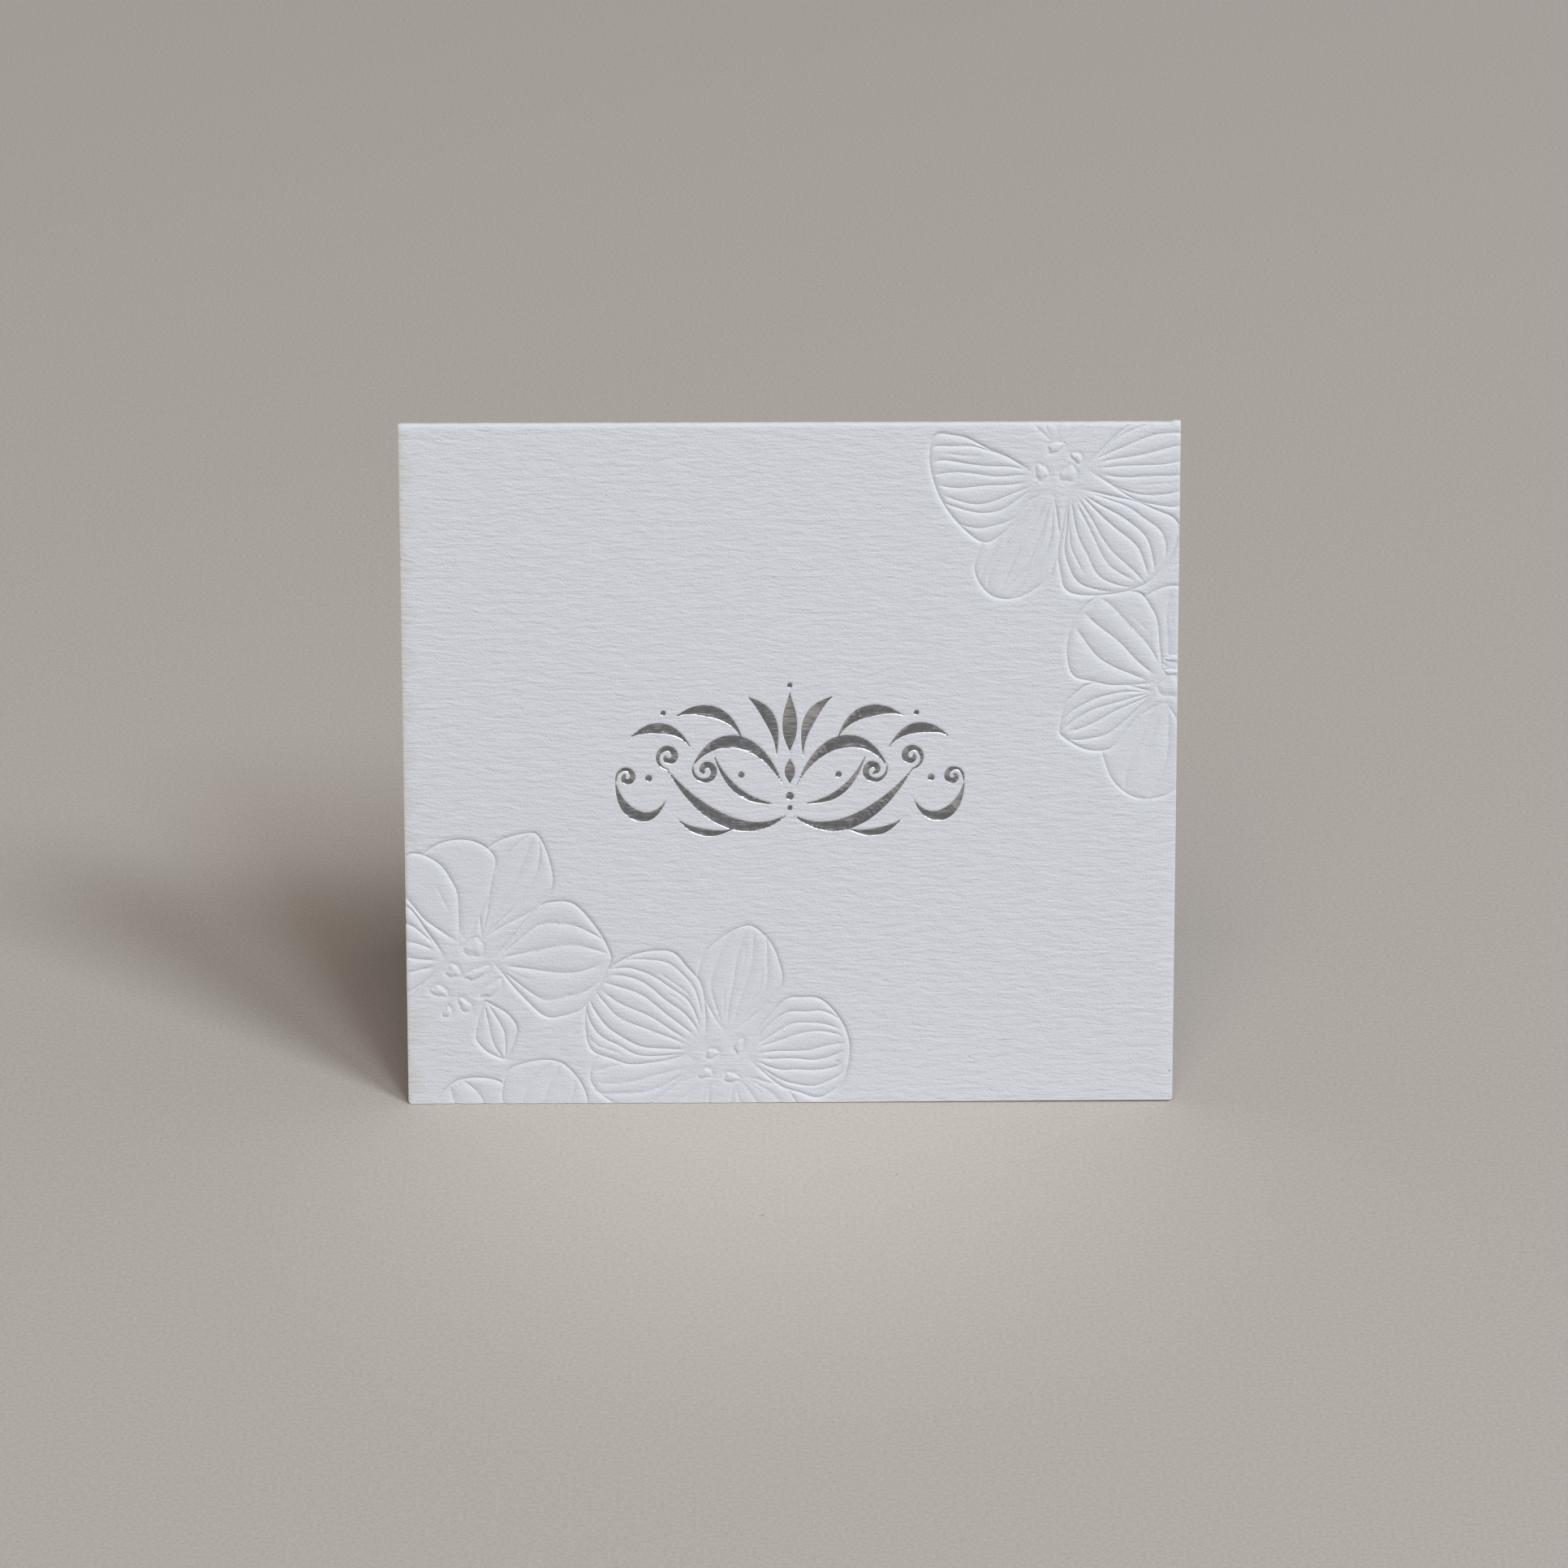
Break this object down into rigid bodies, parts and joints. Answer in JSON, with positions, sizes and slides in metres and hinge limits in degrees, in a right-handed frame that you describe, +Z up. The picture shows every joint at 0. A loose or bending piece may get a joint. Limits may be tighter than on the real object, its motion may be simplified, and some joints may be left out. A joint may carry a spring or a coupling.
{
  "type": "greeting card",
  "caption": "Folded sheet of white textured card standing as a tent, with blossoms pressed into its front panel and a silver flourish.",
  "frame": {"origin": "on the surface the card stands on, midway along its fold and midway between its two feet", "axes": "+X along the fold, to the right as seen from the front; +Y from the front panel's foot to the back panel's foot; +Z up"},
  "size_m": [0.14, 0.0626, 0.1232],
  "materials": {
    "card_stock": "uncoated felt-marked white card, finely ribbed across, smoother where the blossoms are pressed",
    "silver_foil": "thin bright silver hot-stamped foil, pressed slightly below the card and taking up its ribs"
  },
  "bodies": {
    "root": {"card": "card_stock"}
  },
  "joints": []
}
